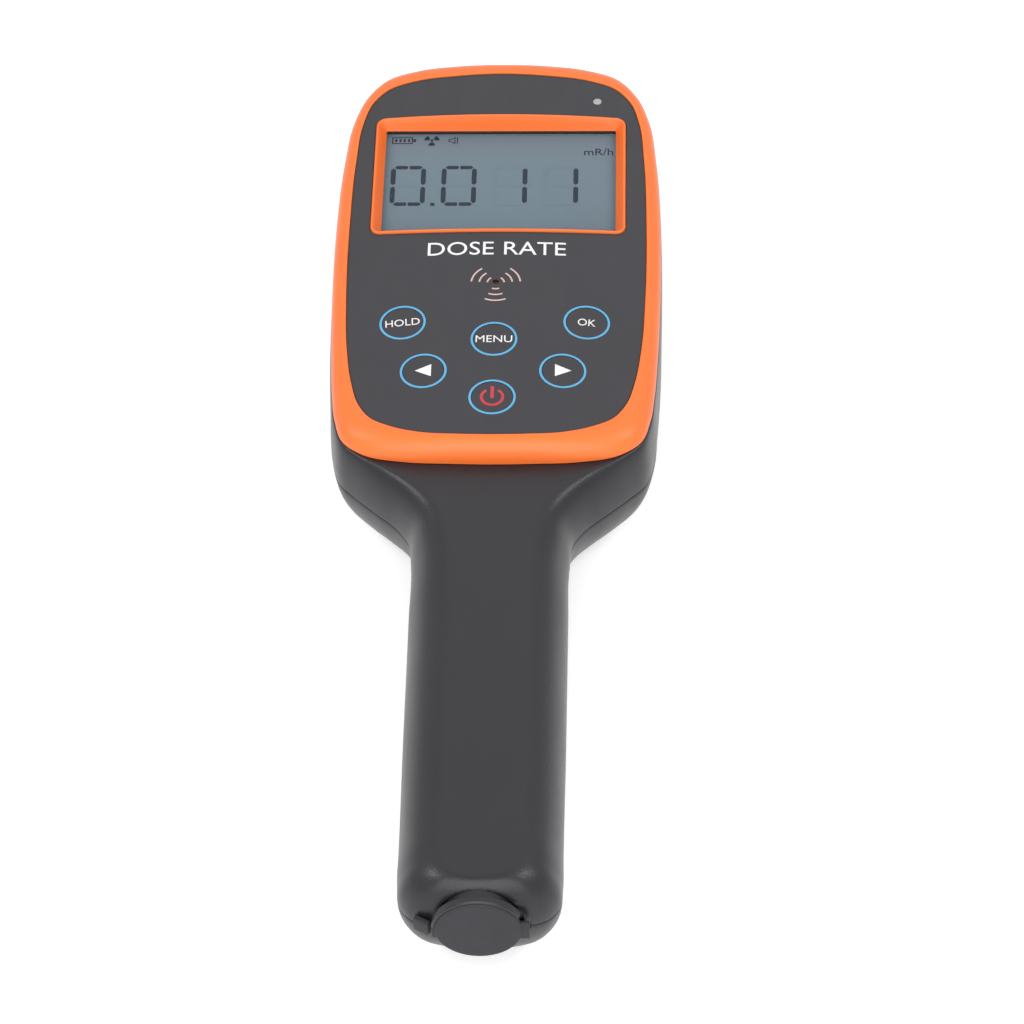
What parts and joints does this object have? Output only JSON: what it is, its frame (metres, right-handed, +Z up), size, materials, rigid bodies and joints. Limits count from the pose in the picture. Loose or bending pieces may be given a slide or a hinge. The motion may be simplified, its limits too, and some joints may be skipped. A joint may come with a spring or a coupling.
{
  "type": "geiger counter",
  "caption": "Hand-held radiation survey meter: paddle-shaped casing with a display and push keys in a framed head, a round handle and a hinged port cap on its end.",
  "frame": {"origin": "middle of the flat underside on which the meter lies, on its centre plane", "axes": "+X to the right across the panel, +Y from the handle to the far end of the head, +Z up out of the panel"},
  "size_m": [0.083, 0.2685, 0.0385],
  "materials": {
    "black_plastic": "finely textured",
    "orange_plastic": "satin",
    "panel_grey": "matt printed film",
    "clear_window": "clear",
    "lcd_glass": "smooth",
    "white_plastic": "smooth",
    "rubber_black": "matt",
    "board_green": "solder mask",
    "steel": "plain",
    "component_black": "moulded",
    "cell_wrap": "shrink sleeve"
  },
  "bodies": {
    "casing": {"upper_shell": "black_plastic", "lower_shell": "black_plastic", "front_frame": "orange_plastic", "overlay": "panel_grey", "lcd_bezel": "orange_plastic", "lcd_window": "clear_window", "lcd_panel": "lcd_glass", "lcd_backlight": "white_plastic", "lcd_holder": "white_plastic", "display_board": "board_green", "status_led": "white_plastic", "indicator_lens": "clear_window", "key_board": "board_green", "switch_hold": "component_black", "switch_ok": "component_black", "switch_menu": "component_black", "switch_left": "component_black", "switch_right": "component_black", "switch_power": "component_black", "sounder": "component_black", "main_board": "board_green", "shield_can": "steel", "hv_module": "component_black", "gm_tube": "steel", "tube_clip_front": "steel", "tube_clip_rear": "steel", "vibration_motor": "steel", "battery_cell": "cell_wrap", "battery_cradle": "component_black", "battery_contact_negative": "steel", "battery_contact_positive": "steel", "port_housing": "component_black", "charge_socket": "steel", "charge_board": "board_green", "cap_strap": "rubber_black", "case_screw_1": "steel", "case_screw_2": "steel", "case_screw_3": "steel", "case_screw_4": "steel", "case_screw_5": "steel", "case_screw_6": "steel"},
    "hold_key": {"key_hold": "panel_grey"},
    "ok_key": {"key_ok": "panel_grey"},
    "menu_key": {"key_menu": "panel_grey"},
    "left_key": {"key_left": "panel_grey"},
    "right_key": {"key_right": "panel_grey"},
    "power_key": {"key_power": "panel_grey"},
    "cap": {"port_cap": "rubber_black"}
  },
  "joints": [
    {"name": "hold_press", "type": "slide", "parent": "casing", "child": "hold_key", "axis": [0, 0, -1], "range_m": [0, 0.0004], "stiffness_N_per_m": 400, "springref_m": -0.0004},
    {"name": "ok_press", "type": "slide", "parent": "casing", "child": "ok_key", "axis": [0, 0, -1], "range_m": [0, 0.0004], "stiffness_N_per_m": 400, "springref_m": -0.0004},
    {"name": "menu_press", "type": "slide", "parent": "casing", "child": "menu_key", "axis": [0, 0, -1], "range_m": [0, 0.0004], "stiffness_N_per_m": 400, "springref_m": -0.0004},
    {"name": "left_press", "type": "slide", "parent": "casing", "child": "left_key", "axis": [0, 0, -1], "range_m": [0, 0.0004], "stiffness_N_per_m": 400, "springref_m": -0.0004},
    {"name": "right_press", "type": "slide", "parent": "casing", "child": "right_key", "axis": [0, 0, -1], "range_m": [0, 0.0004], "stiffness_N_per_m": 400, "springref_m": -0.0004},
    {"name": "power_press", "type": "slide", "parent": "casing", "child": "power_key", "axis": [0, 0, -1], "range_m": [0, 0.0004], "stiffness_N_per_m": 400, "springref_m": -0.0004},
    {"name": "cap_swing", "type": "hinge", "parent": "casing", "child": "cap", "pos_m": [-0.0105, -0.134, 0.0212], "axis": [0, 0, -1], "range_deg": [0, 110], "stiffness_Nm_per_rad": 0.002}
  ]
}
